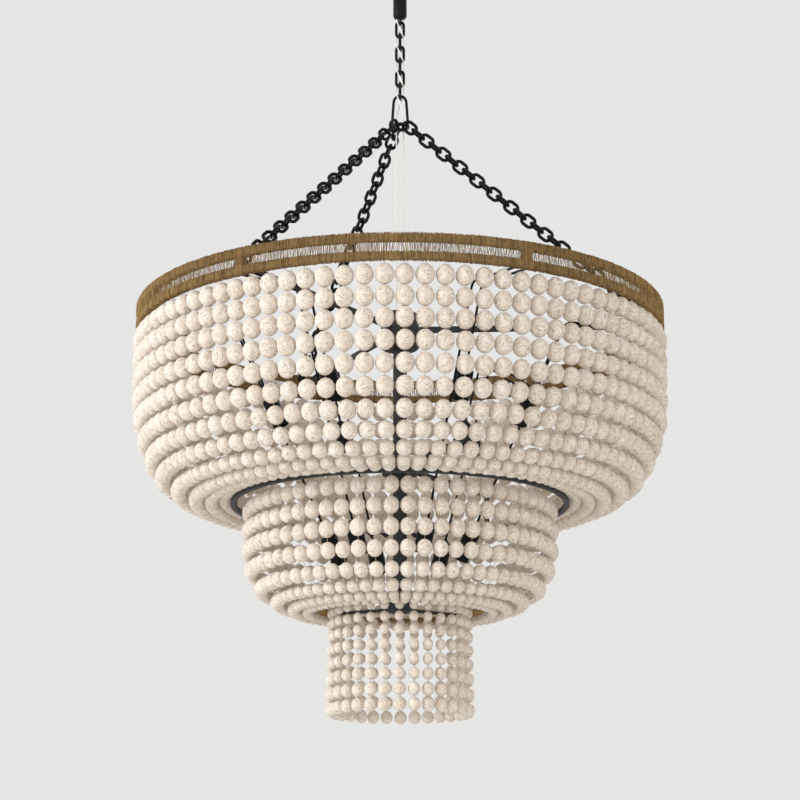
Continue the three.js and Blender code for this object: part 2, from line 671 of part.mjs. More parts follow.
[0, 1].forEach((side) => {
  // a quarter turn for each link, so that the cord is in front of the middle of every link it passes
  const topMiddle = dropTop - drop.length / 2;
  const turnAt = (level) => ((topMiddle - level) / dropPitch) * quarterTurn + side * halfTurn - quarterTurn;
  const bailPass = dropEnd + drop.length / 2 - dropPitch;
  const endTurn = turnAt(bailPass) + lastTurn;
  place(`chain_cord_${side + 1}`, cordTube(new Helix(cord.coilRadius, [
    [cord.topLevel, turnAt(cord.topLevel)], [bailPass, turnAt(bailPass)],
    [hanger.level + seat / 2, endTurn],
  ]), cordSteps), clear);
  const from = polar(cord.coilRadius, endTurn, hanger.level - seat / 2);
  const rim = polar(topHub.bore - cord.radius - seat, endTurn, topHub.top);
  const end = rim.clone().setZ(topHub.top - cord.hubDepth);
  const path = new THREE.CatmullRomCurve3([from, rim, end], false, 'centripetal');
  place(`hub_cord_${side + 1}`, cordTube(path, leadSteps), clear);
});

// Bead strands. A sector is one comb: its strands hang from a tie wire that runs along their tops.
// The line of a strand is a list of [radius, level, width], with the two ends of its tie wire first.
function strandLine({ start, end, ties, bead: widest, clearRows, rowShares }) {
  const rows = rowShares.map(([inShare, downShare, widthShare]) => [
    start[0] + (end[0] - start[0]) * inShare, start[1] + (end[1] - start[1]) * downShare,
    widest * widthShare,
  ]);
  const line = ties.map(([r, z]) => [r, z, tieWire]);
  rows.forEach((row, i) => {
    line.push(row);
    if (i >= clearRows || i + 1 === rows.length) return;
    const [middle, level, width] = row.map((value, j) => (value + rows[i + 1][j]) / 2);
    line.push([middle, level, width * neckShare]);
  });
  return line;
}

function strandSector(tier, first, count) {
  const line = strandLine(tier);
  const step = (2 * Math.PI) / tier.strands;
  const points = [];
  const triangles = [];
  const quad = (a, b, c, d) => triangles.push(a, c, b, a, d, c);
  const strands = [];
  for (let i = 0; i < count; i += 1) {
    const angle = -Math.PI / 2 + tier.phase * degrees + (first + i) * step;
    const outward = new THREE.Vector3(Math.cos(angle), Math.sin(angle), 0);
    const sideways = new THREE.Vector3(-Math.sin(angle), Math.cos(angle), 0);
    const strand = line.map(([r, z, size], k) => {
      const [r0, z0] = line[Math.max(k - 1, 0)];
      const [r1, z1] = line[Math.min(k + 1, line.length - 1)];
      const along = new THREE.Vector2(r1 - r0, z1 - z0).normalize();
      const normal = new THREE.Vector2(-along.y, along.x); // away from the inside of the tier
      const wide = Math.min(size, squeeze * step * r);
      const at = (across, up) => points.push(outward.clone().multiplyScalar(r + normal.x * up)
        .addScaledVector(sideways, across).setZ(z + normal.y * up)) - 1;
      return [at(0, size / 2), at(-wide / 2, -size / 4), at(wide / 2, -size / 4)];
    });
    strand.slice(1).forEach((b, k) => {
      const a = strand[k];
      quad(a[1], b[1], b[2], a[2]);
      if (k || i === 0) quad(a[0], b[0], b[1], a[1]);
      if (k || i === count - 1) quad(a[2], b[2], b[0], a[0]);
    });
    const end = strand[line.length - 1];
    triangles.push(strand[0][0], strand[0][2], strand[0][1], end[0], end[1], end[2]);
    strands.push(strand);
  }
  // the tie wire between neighbours
  strands.slice(1).forEach((b, i) => {
    const a = strands[i];
    const left = [a[0][0], a[1][0], a[1][2], a[0][2]];
    const right = [b[0][0], b[1][0], b[1][1], b[0][1]];
    for (let j = 0; j < left.length; j += 1) {
      const next = (j + 1) % left.length;
      quad(left[next], left[j], right[j], right[next]);
    }
  });
  return body(points, triangles);
}

// The upper tier hangs under the hoop, and the others over the inner edges of their rings
const tieRadius = hoop.outer - upperTier.tieInset;
const overRing = (tier, { outer, width, level, height }, end) => {
  const inner = outer - width;
  const tieLevel = level + height / 2 + tier.tieLift;
  return {
    ...tier,
    start: [inner - tier.inset, level],
    end: end || [inner - tier.inset, level - tier.drop],
    ties: [[inner + tier.tieLap, tieLevel], [inner - tier.tieReach, tieLevel - seat / 2]],
  };
};
const tiers = {
  upper: {
    ...upperTier,
    start: [hoop.outer - upperTier.inset, hoopBottom],
    end: [midRing.outer + upperTier.endGap, midRing.level],
    ties: [[tieRadius, hoopBottom - seat], [tieRadius, hoopBottom - seat - upperTier.tieDrop]],
  },
  mid: overRing(midTier, midRing, [lowRing.outer + midTier.endGap, lowRing.level]),
  low: overRing(lowTier, lowRing),
};
for (const [name, tier] of Object.entries(tiers)) {
  const perNode = tier.strands / tier.nodes;
  for (let k = 0; k < tier.nodes; k += 1) {
    place(`${name}_strands_${k + 1}`, strandSector(tier, k * perNode, perNode), bead);
  }
}

export default chandelier;
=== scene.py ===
import math
import random

import bpy
from mathutils import Matrix, Vector


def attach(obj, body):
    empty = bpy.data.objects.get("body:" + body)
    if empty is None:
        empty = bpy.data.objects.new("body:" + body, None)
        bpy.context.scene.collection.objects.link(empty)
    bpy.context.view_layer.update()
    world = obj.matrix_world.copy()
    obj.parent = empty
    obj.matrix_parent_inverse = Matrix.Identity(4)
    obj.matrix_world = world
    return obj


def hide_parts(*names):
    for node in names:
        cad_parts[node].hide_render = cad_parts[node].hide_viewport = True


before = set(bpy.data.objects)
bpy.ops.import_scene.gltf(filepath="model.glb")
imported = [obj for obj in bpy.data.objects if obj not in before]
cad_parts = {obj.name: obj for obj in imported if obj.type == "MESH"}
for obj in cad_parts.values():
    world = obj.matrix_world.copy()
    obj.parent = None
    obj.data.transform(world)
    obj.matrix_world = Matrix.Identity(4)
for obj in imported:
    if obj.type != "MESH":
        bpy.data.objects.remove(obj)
mm = 0.001
fixture = "fixture"
xAxis, yAxis, zAxis = Vector((1, 0, 0)), Vector((0, 1, 0)), Vector((0, 0, 1))


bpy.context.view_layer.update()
print("frame loaded")

# Camera: below the light and looking up at it, as in the photograph
camera = {
    "place": (0, -2.5, -1.215), "pitch": 11.545, "lens": 94.16, "sensor": 36, "shiftY": 0.12,
    "near": 0.05, "far": 40,
}
cameraData = bpy.data.cameras.new("camera")
cameraData.lens = camera["lens"]
cameraData.sensor_width = camera["sensor"]
cameraData.shift_y = camera["shiftY"]
cameraData.clip_start = camera["near"]
cameraData.clip_end = camera["far"]
cameraObject = bpy.data.objects.new("camera", cameraData)
cameraObject.location = camera["place"]
cameraObject.rotation_euler = (math.radians(90 + camera["pitch"]), 0, 0)
bpy.context.scene.collection.objects.link(cameraObject)
bpy.context.scene.camera = cameraObject
print("camera placed")


# Nodes: each input is given a value, or the socket that feeds it
def addNode(tree, kind, inputs=None, **settings):
    node = tree.nodes.new(kind)
    for setting, value in settings.items():
        setattr(node, setting, value)
    for socket, value in (inputs or {}).items():
        if isinstance(value, bpy.types.NodeSocket):
            tree.links.new(value, node.inputs[socket])
        else:
            node.inputs[socket].default_value = value
    return node


def addMath(tree, operation, first, second, clamp=False):
    inputs = {0: first, 1: second}
    return addNode(tree, "ShaderNodeMath", inputs, operation=operation, use_clamp=clamp).outputs["Value"]


def addMix(tree, share, first, second):
    inputs = {"Factor": share, "A": first, "B": second}
    return addNode(tree, "ShaderNodeMix", inputs, data_type="RGBA").outputs["Result"]


def addNoise(tree, vector, scale, noise):
    cells = addNode(tree, "ShaderNodeTexNoise", {
        "Vector": vector, "Scale": scale, "Detail": noise["detail"], "Roughness": noise["roughness"],
        "Distortion": noise["distortion"],
    })
    low, high = noise["span"]
    inputs = {"Value": cells.outputs["Fac"], "From Min": low, "From Max": high}
    return addNode(tree, "ShaderNodeMapRange", inputs).outputs["Result"]


def addStretch(tree, vector, scale):
    return addNode(tree, "ShaderNodeMapping", {"Vector": vector, "Scale": scale}).outputs["Vector"]


def startGroup(name, inputs):
    group = bpy.data.node_groups.new(name, "ShaderNodeTree")
    for socket, value in inputs.items():
        kind = "NodeSocketColor" if isinstance(value, tuple) else "NodeSocketFloat"
        group.interface.new_socket(socket, in_out="INPUT", socket_type=kind).default_value = value
    for socket, kind in (("Color", "Color"), ("Height", "Float"), ("Normal", "Vector")):
        group.interface.new_socket(socket, in_out="OUTPUT", socket_type=f"NodeSocket{kind}")
    return group, group.nodes.new("NodeGroupInput").outputs


def endGroup(group, groupIn, color, height, bumpDistance):
    bumpInputs = {"Distance": bumpDistance, "Strength": groupIn["Depth"], "Height": height}
    bump = addNode(group, "ShaderNodeBump", bumpInputs)
    addNode(group, "NodeGroupOutput", {"Color": color, "Height": height, "Normal": bump.outputs["Normal"]})


# Grain: uneven colour, fine specks and a bump, all from the place on the object
grainNoise = {
    "cloud": {"detail": 3, "roughness": 0.5, "distortion": 0.0, "span": (0.38, 0.66)},
    "specks": {
        "detail": 2, "roughness": 0.7, "distortion": 0.0, "span": (0.53, 0.68), "stretch": (1, 1, 1.9),
    },
    "bump": 0.0006,
}
grain, grainIn = startGroup("grain", {
    "Pale": (0.8, 0.7, 0.6, 1), "Dark": (0.4, 0.3, 0.2, 1), "Scale": 300.0, "Speck Scale": 900.0,
    "Cloud": 0.3, "Specks": 0.4, "Tone": 0.1, "Depth": 0.3,
})
place = addNode(grain, "ShaderNodeTexCoord").outputs["Object"]
tone = addNode(grain, "ShaderNodeAttribute", attribute_name="tone").outputs["Fac"]
cloud = addNoise(grain, place, grainIn["Scale"], grainNoise["cloud"])
stretched = addStretch(grain, place, grainNoise["specks"]["stretch"])
specks = addNoise(grain, stretched, grainIn["Speck Scale"], grainNoise["specks"])
cloudPart = addMath(grain, "MULTIPLY", cloud, grainIn["Cloud"])
speckPart = addMath(grain, "MULTIPLY", specks, grainIn["Specks"])
tonePart = addMath(grain, "MULTIPLY", tone, grainIn["Tone"])
darkness = addMath(grain, "ADD", cloudPart, speckPart)
darkShare = addMath(grain, "ADD", darkness, tonePart, clamp=True)
grainColor = addMix(grain, darkShare, grainIn["Pale"], grainIn["Dark"])
endGroup(grain, grainIn, grainColor, addMath(grain, "SUBTRACT", 1, darkness), grainNoise["bump"])

# Whitewashed wood: fine dark fibres that run another way in each bead, over tan pores
woodNoise = {
    "fibres": {
        "detail": 3, "roughness": 0.5, "distortion": 0.35, "span": (0.50, 0.68), "stretch": (0.1, 0.17, 1.0),
    },
    "crossFibres": {
        "detail": 3, "roughness": 0.5, "distortion": 0.3, "span": (0.52, 0.70), "stretch": (1.0, 0.13, 0.16),
        "scale": 32.0, "share": 0.7,
    },
    "pores": {"detail": 4, "roughness": 0.5, "distortion": 0.3, "span": (0.44, 0.68), "scale": 4.2},
    "turnAxis": (0.6, 0.75, 0.28), "turnByTone": 23.0, "shiftByTone": (53, 31, 17), "bump": 0.0004,
}
washed, washedIn = startGroup("whitewashedWood", {
    "Pale": (0.8, 0.75, 0.68, 1), "Dark": (0.3, 0.2, 0.13, 1), "Tan": (0.6, 0.45, 0.3, 1),
    "Fibre Scale": 11.0, "Fibres": 0.6, "Pores": 0.4, "Tone": 0.1, "Depth": 0.3,
})
beadPlace = addNode(washed, "ShaderNodeAttribute", attribute_name="beadPlace").outputs["Vector"]
beadTone = addNode(washed, "ShaderNodeAttribute", attribute_name="tone").outputs["Fac"]
turned = addNode(washed, "ShaderNodeVectorRotate", {
    "Vector": beadPlace, "Axis": woodNoise["turnAxis"],
    "Angle": addMath(washed, "MULTIPLY", beadTone, woodNoise["turnByTone"]),
})
shiftInputs = {0: woodNoise["shiftByTone"], "Scale": beadTone}
shift = addNode(washed, "ShaderNodeVectorMath", shiftInputs, operation="SCALE")
movedInputs = {0: turned.outputs["Vector"], 1: shift.outputs["Vector"]}
moved = addNode(washed, "ShaderNodeVectorMath", movedInputs, operation="ADD").outputs["Vector"]
along = addStretch(washed, moved, woodNoise["fibres"]["stretch"])
across = addStretch(washed, moved, woodNoise["crossFibres"]["stretch"])
fibres = addNoise(washed, along, washedIn["Fibre Scale"], woodNoise["fibres"])
crossFibres = addNoise(washed, across, woodNoise["crossFibres"]["scale"], woodNoise["crossFibres"])
pores = addNoise(washed, moved, woodNoise["pores"]["scale"], woodNoise["pores"])
crossPart = addMath(washed, "MULTIPLY", crossFibres, woodNoise["crossFibres"]["share"])
allFibres = addMath(washed, "MAXIMUM", fibres, crossPart)
porePart = addMath(washed, "MULTIPLY", pores, washedIn["Pores"])
beadPart = addMath(washed, "MULTIPLY", beadTone, washedIn["Tone"])
tanShare = addMath(washed, "ADD", porePart, beadPart, clamp=True)
ground = addMix(washed, tanShare, washedIn["Pale"], washedIn["Tan"])
fibreShare = addMath(washed, "MULTIPLY", allFibres, washedIn["Fibres"])
woodColor = addMix(washed, fibreShare, ground, washedIn["Dark"])
endGroup(washed, washedIn, woodColor, addMath(washed, "SUBTRACT", 1.0, allFibres), woodNoise["bump"])

# Finishes: the group's inputs, the plain surface inputs, and the roughness of hollows and of high spots
looks = {
    "wood_beads": {
        "group": washed, "rough": (0.9, 0.72), "surface": {"Specular IOR Level": 0.25},
        "inputs": {
            "Pale": (0.895, 0.84, 0.775, 1), "Dark": (0.25, 0.18, 0.12, 1), "Tan": (0.68, 0.545, 0.41, 1),
            "Fibre Scale": 29.0, "Fibres": 0.66, "Pores": 0.5, "Tone": 0.18, "Depth": 0.35,
        },
    },
    "twine": {
        "group": grain, "rough": (1.0, 0.85), "surface": {"Specular IOR Level": 0.15},
        "inputs": {
            "Pale": (0.44, 0.29, 0.13, 1), "Dark": (0.10, 0.055, 0.02, 1), "Scale": 150.0,
            "Speck Scale": 1400.0, "Cloud": 0.25, "Specks": 0.5, "Tone": 0.52, "Depth": 0.7,
        },
    },
    "black_iron": {
        "group": grain, "rough": (0.55, 0.42), "surface": {"Metallic": 0.05, "Specular IOR Level": 0.16},
        "inputs": {
            "Pale": (0.0065, 0.007, 0.008, 1), "Dark": (0.0035, 0.0037, 0.004, 1), "Scale": 120.0,
            "Speck Scale": 900.0, "Cloud": 0.4, "Specks": 0.3, "Tone": 0.0, "Depth": 0.12,
        },
    },
    "dark_iron": {
        "group": grain, "rough": (0.72, 0.58), "surface": {"Metallic": 0.1, "Specular IOR Level": 0.2},
        "inputs": {
            "Pale": (0.05, 0.051, 0.054, 1), "Dark": (0.026, 0.027, 0.029, 1), "Scale": 90.0,
            "Speck Scale": 800.0, "Cloud": 0.35, "Specks": 0.25, "Tone": 0.0, "Depth": 0.08,
        },
    },
    "clear_cord": {
        "group": grain, "rough": (0.4, 0.3), "surface": {"Specular IOR Level": 0.5},
        "inputs": {
            "Pale": (0.88, 0.88, 0.86, 1), "Dark": (0.7, 0.7, 0.68, 1), "Scale": 60.0, "Speck Scale": 500.0,
            "Cloud": 0.2, "Specks": 0.1, "Tone": 0.0, "Depth": 0.0,
        },
    },
    "bead_thread": {
        "group": grain, "rough": (0.7, 0.6), "surface": {"Specular IOR Level": 0.3},
        "inputs": {
            "Pale": (0.4, 0.33, 0.25, 1), "Dark": (0.3, 0.24, 0.18, 1), "Scale": 60.0, "Speck Scale": 500.0,
            "Cloud": 0.2, "Specks": 0.1, "Tone": 0.0, "Depth": 0.0,
        },
    },
    "socket_shell": {
        "group": grain, "rough": (0.45, 0.35), "surface": {"Metallic": 0.9},
        "inputs": {
            "Pale": (0.35, 0.27, 0.15, 1), "Dark": (0.16, 0.12, 0.07, 1), "Scale": 200.0,
            "Speck Scale": 900.0, "Cloud": 0.4, "Specks": 0.2, "Tone": 0.0, "Depth": 0.1,
        },
    },
}


def makeMaterial(name, look):
    material = bpy.data.materials.new(name)
    material.use_nodes = True
    tree = material.node_tree
    effect = addNode(tree, "ShaderNodeGroup", look["inputs"], node_tree=look["group"])
    hollow, high = look["rough"]
    roughInputs = {"Value": effect.outputs["Height"], "To Min": hollow, "To Max": high}
    rough = addNode(tree, "ShaderNodeMapRange", roughInputs)
    principled = tree.nodes["Principled BSDF"]
    for socket, value in look["surface"].items():
        principled.inputs[socket].default_value = value
    tree.links.new(effect.outputs["Color"], principled.inputs["Base Color"])
    tree.links.new(effect.outputs["Normal"], principled.inputs["Normal"])
    tree.links.new(rough.outputs["Result"], principled.inputs["Roughness"])
    return material


materials = {name: makeMaterial(name, look) for name, look in looks.items()}
print("materials made")

# Shapes: each is a list of points in millimetres and a list of faces
shaping = {"sharpAngle": 42, "cornerShare": 0.45, "least": 0.001, "axis": 1e-6}


def addPiece(name, shapes, look, body, *nodes, slotName=None):
    points, faces = [], []
    for shapePoints, shapeFaces in shapes:
        start = len(points)
        points += [Vector(p) * mm for p in shapePoints]
        faces += [[start + i for i in face] for face in shapeFaces]
    mesh = bpy.data.meshes.new(name)
    mesh.from_pydata(points, [], faces)
    return finishPiece(name, mesh, look, body, *nodes, slotName=slotName)


def finishPiece(name, mesh, look, body, *nodes, slotName=None):
    if not mesh.materials:
        mesh.materials.append(materials[look])
    mesh.shade_smooth()
    mesh.set_sharp_from_angle(angle=math.radians(shaping["sharpAngle"]))
    piece = bpy.data.objects.new(f"{name}_finished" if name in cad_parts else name, mesh)
    bpy.context.scene.collection.objects.link(piece)
    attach(piece, body)
    if nodes:
        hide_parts(*nodes)
    return piece


def roundAngles(count, shift=0):
    return [2 * math.pi * (k + shift) / count for k in range(count)]


def polar(radius, azimuth, level):
    a = math.radians(azimuth)
    return Vector((radius * math.cos(a), radius * math.sin(a), level))


def lathe(profile, segments):
    points, faces, rings = [], [], []
    for r, z in profile:
        if abs(r) < shaping["axis"]:
            rings.append([len(points)])
            points.append((0, 0, z))
            continue
        rings.append(list(range(len(points), len(points) + segments)))
        points += [(r * math.cos(a), r * math.sin(a), z) for a in roundAngles(segments)]
    for low, high in zip(rings, rings[1:]):
        for k in range(segments):
            n = (k + 1) % segments
            if len(low) == 1:
                faces.append([low[0], high[n], high[k]])
            elif len(high) == 1:
                faces.append([low[k], low[n], high[0]])
            else:
                faces.append([low[k], low[n], high[n], high[k]])
    return points, faces


def rounded(path, radius, steps):
    made = [path[0]]
    for before, corner, after in zip(path, path[1:], path[2:]):
        a, c, b = Vector(before), Vector(corner), Vector(after)
        reach = min(radius, (a - c).length * shaping["cornerShare"], (b - c).length * shaping["cornerShare"])
        if reach < shaping["least"] or c.x < shaping["least"]:
            made.append(corner)
            continue
        start, end = c + (a - c).normalized() * reach, c + (b - c).normalized() * reach
        for k in range(steps + 1):
            t = k / steps
            made.append(tuple(start * (1 - t) ** 2 + c * (2 * t * (1 - t)) + end * t ** 2))
    return made + [path[-1]]


def flatBar(bar, bottom, top):
    outline = [(bar["inner"], bottom), (bar["outer"], bottom), (bar["outer"], top), (bar["inner"], top)]
    closed = rounded(outline + outline[:2], bar["soft"], bar["steps"])[1:-1]
    return lathe(closed + [closed[0]], bar["segments"])


def bush(part):
    rim, edge = part["radius"], part["radius"] - part["inset"]
    low, high = part["bottom"], part["top"]
    return [
        (part["bore"], low), (edge, low), (rim, low + part["rise"]), (rim, high - part["rise"]), (edge, high),
        (part["bore"], high), (part["bore"], low),
    ]


def sweep(path, radius, sides):
    path = [Vector(p) for p in path]
    last = len(path) - 1
    points, faces = [], []
    across = None
    for i, p in enumerate(path):
        along = (path[min(i + 1, last)] - path[max(i - 1, 0)]).normalized()
        if across is None:
            guess = zAxis if abs(along.z) < 0.9 else xAxis
            across = along.cross(guess).normalized()
        across = (across - along * across.dot(along)).normalized()
        other = along.cross(across)
        for a in roundAngles(sides):
            points.append(p + across * (radius * math.cos(a)) + other * (radius * math.sin(a)))
    for i in range(last):
        for k in range(sides):
            n = (k + 1) % sides
            faces.append([i * sides + k, i * sides + n, (i + 1) * sides + n, (i + 1) * sides + k])
    faces.append(list(range(sides))[::-1])
    faces.append([last * sides + k for k in range(sides)])
    return points, faces


def sweepFlat(path, normal, wire, sides):
    points, faces = [], []
    count = len(path)
    for i, p in enumerate(path):
        along = (path[(i + 1) % count] - path[i - 1]).normalized()
        across = along.cross(normal)
        for a in roundAngles(sides, 0.5):
            points.append(p + across * (wire * math.cos(a)) + normal * (wire * math.sin(a)))
    for i in range(count):
        j = (i + 1) % count
        for k in range(sides):
            n = (k + 1) % sides
            faces.append([i * sides + k, j * sides + k, j * sides + n, i * sides + n])
    return points, faces


def placeLink(centre, along, side, size, length):
    straight = length / 2 - size["half"]
    path = []
    for a in roundAngles(size["steps"], 0.5):
        rise = size["half"] * math.cos(a) + (straight if math.cos(a) > 0 else -straight)
        path.append(centre + side * (size["half"] * math.sin(a)) + along * rise)
    return sweepFlat(path, side.cross(along), size["wire"], size["sides"])


def block(centre, size, azimuth, bevel):
    x, y, z = (s / 2 for s in size)
    ring = []
    for sx, sy in ((-1, -1), (1, -1), (1, 1), (-1, 1)):
        cuts = ((0, -1), (-1, 0)) if sx == sy else ((-1, 0), (0, -1))
        ring += [(sx * (x + dx * bevel), sy * (y + dy * bevel)) for dx, dy in cuts]
    levels = [(-z, bevel), (-z + bevel, 0), (z - bevel, 0), (z, bevel)]
    spin = Matrix.Rotation(math.radians(azimuth), 3, "Z")
    points, faces = [], []
    for level, inset in levels:
        su, sv = max(0, 1 - inset / x), max(0, 1 - inset / y)
        points += [spin @ (Vector((u * su, v * sv, level)) + Vector(centre)) for u, v in ring]
    n, top = len(ring), len(levels) - 1
    for i in range(top):
        for k in range(n):
            m = (k + 1) % n
            faces.append([i * n + k, i * n + m, (i + 1) * n + m, (i + 1) * n + k])
    faces.append(list(range(n))[::-1])
    faces.append([top * n + k for k in range(n)])
    return points, faces


# Repeats: one tree for beads on their strands, one for turns of twine
def repeatTree(name, inputs):
    tree = bpy.data.node_groups.new(name, "GeometryNodeTree")
    for socket, kind in (("Points", "Geometry"), *inputs, ("Seed", "Int"), ("Material", "Material")):
        tree.interface.new_socket(socket, in_out="INPUT", socket_type=f"NodeSocket{kind}")
    tree.interface.new_socket("Mesh", in_out="OUTPUT", socket_type="NodeSocketGeometry")
    return tree, tree.nodes.new("NodeGroupInput").outputs


def readAttribute(tree, name):
    named = addNode(tree, "GeometryNodeInputNamedAttribute", {"Name": name}, data_type="FLOAT_VECTOR")
    return named.outputs["Attribute"]


def randomVector(tree, seed, low, high):
    inputs = {"Min": low, "Max": high, "Seed": seed}
    return addNode(tree, "FunctionNodeRandomValue", inputs, data_type="FLOAT_VECTOR").outputs["Value"]


def placeCopies(tree, treeIn, shape, turn, copyInputs):
    smooth = addNode(tree, "GeometryNodeSetShadeSmooth", {"Geometry": shape})
    copies = addNode(tree, "GeometryNodeInstanceOnPoints", {
        "Points": treeIn["Points"], "Instance": smooth.outputs["Geometry"],
        "Rotation": readAttribute(tree, "lie"), **copyInputs,
    })
    spunInputs = {"Instances": copies.outputs["Instances"], "Rotation": turn}
    spun = addNode(tree, "GeometryNodeRotateInstances", spunInputs)
    shade = addNode(tree, "FunctionNodeRandomValue", {"Seed": treeIn["Seed"]}, data_type="FLOAT")
    shadeValue = next(o for o in shade.outputs if o.enabled and o.type == "VALUE")
    store = addNode(tree, "GeometryNodeStoreNamedAttribute", {
        "Geometry": spun.outputs["Instances"], "Name": "tone", "Value": shadeValue,
    }, data_type="FLOAT", domain="INSTANCE")
    real = addNode(tree, "GeometryNodeRealizeInstances", {"Geometry": store.outputs["Geometry"]})
    paintInputs = {"Geometry": real.outputs["Geometry"], "Material": treeIn["Material"]}
    paint = addNode(tree, "GeometryNodeSetMaterial", paintInputs)
    addNode(tree, "NodeGroupOutput", {"Mesh": paint.outputs["Geometry"]})


beadTurn = {"low": (-0.05, -0.05, 0.0), "high": (0.05, 0.05, 6.283)}
beadTree, beadIn = repeatTree("beadStrands", [("Segments", "Int"), ("Rings", "Int")])
ball = addNode(beadTree, "GeometryNodeMeshUVSphere", {
    "Radius": 0.5, "Segments": beadIn["Segments"], "Rings": beadIn["Rings"],
})
onBead = addNode(beadTree, "GeometryNodeInputPosition").outputs["Position"]
placeInputs = {"Geometry": ball.outputs["Mesh"], "Name": "beadPlace", "Value": onBead}
keepPlace = addNode(beadTree, "GeometryNodeStoreNamedAttribute", placeInputs, data_type="FLOAT_VECTOR")
beadSpin = randomVector(beadTree, beadIn["Seed"], beadTurn["low"], beadTurn["high"])
spanInput = {"Scale": readAttribute(beadTree, "span")}
placeCopies(beadTree, beadIn, keepPlace.outputs["Geometry"], beadSpin, spanInput)

twineSection = {"cornerPoints": 2, "sides": 4}
turnTree, turnIn = repeatTree("twineTurns", [
    ("Depth", "Float"), ("Height", "Float"), ("Corner", "Float"), ("Strand", "Float"), ("Lean", "Vector"),
])
oblongInputs = {"Width": turnIn["Depth"], "Height": turnIn["Height"]}
oblong = addNode(turnTree, "GeometryNodeCurvePrimitiveQuadrilateral", oblongInputs)
softened = addNode(turnTree, "GeometryNodeFilletCurve", {
    "Curve": oblong.outputs["Curve"], "Count": twineSection["cornerPoints"], "Radius": turnIn["Corner"],
}, mode="POLY")
sectionInputs = {"Resolution": twineSection["sides"], "Radius": turnIn["Strand"]}
section = addNode(turnTree, "GeometryNodeCurvePrimitiveCircle", sectionInputs)
tubeInputs = {"Curve": softened.outputs["Curve"], "Profile Curve": section.outputs["Curve"]}
tube = addNode(turnTree, "GeometryNodeCurveToMesh", tubeInputs)
standInputs = {"Geometry": tube.outputs["Mesh"], "Rotation": (math.pi / 2, 0, 0)}
standing = addNode(turnTree, "GeometryNodeTransform", standInputs)
leanBack = addNode(turnTree, "ShaderNodeVectorMath", {0: turnIn["Lean"], "Scale": -1}, operation="SCALE")
lean = randomVector(turnTree, turnIn["Seed"], leanBack.outputs["Vector"], turnIn["Lean"])
placeCopies(turnTree, turnIn, standing.outputs["Geometry"], lean, {})


def growMesh(name, tree, places, lies, spans, values):
    mesh = bpy.data.meshes.new(name)
    mesh.from_pydata([Vector(p) * mm for p in places], [], [])
    for attribute, rows in (("lie", lies), ("span", spans)):
        if rows:
            data = mesh.attributes.new(attribute, "FLOAT_VECTOR", "POINT")
            data.data.foreach_set("vector", [x for row in rows for x in row])
    source = bpy.data.objects.new(name, mesh)
    bpy.context.scene.collection.objects.link(source)
    modifier = source.modifiers.new("repeat", "NODES")
    modifier.node_group = tree
    sockets = {item.name: item.identifier for item in tree.interface.items_tree if item.in_out == "INPUT"}
    for socket, value in values.items():
        modifier[sockets[socket]] = value
    bpy.context.view_layer.update()
    evaluated = source.evaluated_get(bpy.context.evaluated_depsgraph_get())
    grown = bpy.data.meshes.new_from_object(evaluated)
    bpy.data.objects.remove(source)
    grown.name = name
    return grown


print("trees made")

# Ceiling end: outlines are (radius, level), and the ceiling is at level 0
canopy = {
    "bore": 5.3, "crown": 50, "mouth": 65, "shoulder": -16, "bottom": -28, "wall": 1.6, "soft": 5, "steps": 6,
    "segments": 96,
}
inside, floorOfCup = canopy["mouth"] - canopy["wall"], canopy["bottom"] + canopy["wall"]
cup = [
    (canopy["bore"], canopy["bottom"]), (canopy["crown"], canopy["bottom"]),
    (canopy["mouth"], canopy["shoulder"]), (canopy["mouth"], 0),
    (inside, 0), (inside, canopy["shoulder"]),
    (canopy["crown"], floorOfCup), (canopy["bore"], floorOfCup),
]
cupShape = lathe(rounded(cup, canopy["soft"], canopy["steps"]) + [cup[0]], canopy["segments"])
addPiece("canopy", [cupShape], "black_iron", "ceiling", "canopy")
nut = {"bore": 5.3, "radius": 11, "inset": 1, "rise": 1.1, "bottom": -36.3, "top": -28.3, "segments": 48}
addPiece("canopy_nut", [lathe(bush(nut), nut["segments"])], "black_iron", "ceiling", "canopy_nut")
for node in ("ceiling_bracket", "threaded_nipple"):
    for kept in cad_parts[node].material_slots:
        kept.material = materials["dark_iron"]
loop = {
    "collar": [
        (0, -82), (5.2, -81.8), (7.6, -80.6), (8.7, -78), (8.7, -56), (7.6, -50), (6.3, -44), (6.2, -36.6),
    ],
    "hole": [(5.3, -36.6), (5.3, -42.9), (0, -42.9)], "segments": 40,
    "wire": 1.6, "half": 5, "top": -79.6, "bottom": -90, "steps": 10, "sides": 12,
}
half, bend = loop["half"], loop["bottom"] + loop["half"]
eye = [Vector((0, half, loop["top"]))]
for k in range(loop["steps"] + 1):
    a = math.pi * k / loop["steps"]
    eye.append(Vector((0, half * math.cos(a), bend - half * math.sin(a))))
eye.append(Vector((0, -half, loop["top"])))
collarShape = lathe(loop["collar"] + loop["hole"], loop["segments"])
eyeShape = sweep(eye, loop["wire"], loop["sides"])
addPiece("canopy_loop", [collarShape, eyeShape], "black_iron", "canopy_loop", "canopy_loop")

# Main chain
chain = {
    "wire": 1.88, "half": 4.75, "length": 20.6, "pitch": 16.7, "top": -86.3, "links": 6,
    "steps": 24, "sides": 10,
}
topMiddle = chain["top"] - chain["length"] / 2
for k in range(chain["links"]):
    centre = Vector((0, 0, topMiddle - k * chain["pitch"]))
    shape = placeLink(centre, zAxis, yAxis if k % 2 else xAxis, chain, chain["length"])
    addPiece(f"chain_link_{k + 1}", [shape], "black_iron", f"link_{k + 1}", f"chain_link_{k + 1}")

